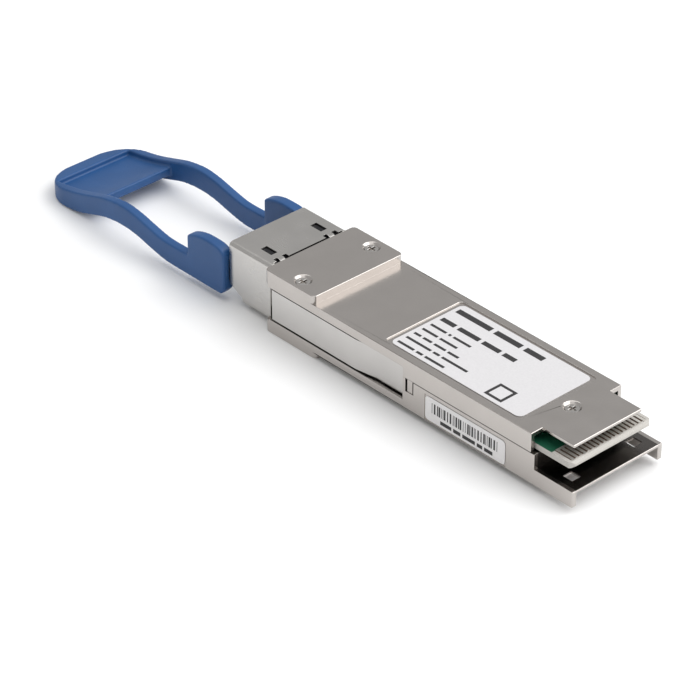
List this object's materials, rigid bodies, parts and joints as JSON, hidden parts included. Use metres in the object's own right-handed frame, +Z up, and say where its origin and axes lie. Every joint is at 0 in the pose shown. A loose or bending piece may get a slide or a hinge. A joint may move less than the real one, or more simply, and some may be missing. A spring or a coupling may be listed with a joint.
{
  "type": "optical transceiver module",
  "caption": "Pluggable optical transceiver module: a cast metal body with a duplex fibre receptacle, a paddle card edge and a pull tab that releases its latch.",
  "frame": {"origin": "centre of the bounding box in X and Y, at its lowest point in Z", "axes": "+X along the module from the pull tab to the card edge, +Z up through the labelled cover, +Y to the transmit side"},
  "size_m": [0.1204, 0.0184, 0.0109],
  "materials": {
    "cast_metal": "satin",
    "sheet_steel": "satin",
    "screw_steel": "polished",
    "blue_plastic": "satin",
    "black_plastic": "satin",
    "ceramic": "gloss",
    "gold_plate": "satin",
    "board_laminate": "satin",
    "contact_metal": "satin",
    "flex_film": "satin",
    "chip_plastic": "matte",
    "capacitor_ceramic": "satin",
    "thermal_pad": "matte",
    "label_film": "satin"
  },
  "bodies": {
    "housing": {"top_shell": "cast_metal", "bottom_shell": "cast_metal", "front_shield": "sheet_steel", "duplex_receptacle": "black_plastic", "optics_bracket": "sheet_steel", "transmit_barrel": "ceramic", "receive_barrel": "ceramic", "transmitter_optics": "gold_plate", "receiver_optics": "gold_plate", "transmit_flex": "flex_film", "receive_flex": "flex_film", "circuit_board": "board_laminate", "contact_row_top": "contact_metal", "contact_row_bottom": "contact_metal", "laser_driver": "chip_plastic", "receiver_amplifier": "chip_plastic", "controller": "chip_plastic", "memory_chip": "chip_plastic", "power_inductor_1": "chip_plastic", "power_inductor_2": "chip_plastic", "capacitor_1": "capacitor_ceramic", "capacitor_2": "capacitor_ceramic", "capacitor_3": "capacitor_ceramic", "capacitor_4": "capacitor_ceramic", "thermal_pad_transmitter": "thermal_pad", "thermal_pad_chips": "thermal_pad", "return_spring_left": "screw_steel", "nose_screw_left": "screw_steel", "return_spring_right": "screw_steel", "nose_screw_right": "screw_steel", "tail_screw": "screw_steel", "top_label": "label_film", "side_label": "label_film"},
    "latch": {"pull_tab": "blue_plastic", "slider_left": "sheet_steel", "slider_right": "sheet_steel"}
  },
  "joints": [
    {"name": "latch_pull", "type": "slide", "parent": "housing", "child": "latch", "axis": [-1, 0, 0], "range_m": [0, 0.0018], "stiffness_N_per_m": 1300, "springref_m": -0.001, "deforming": ["return_spring_left", "return_spring_right"]}
  ]
}
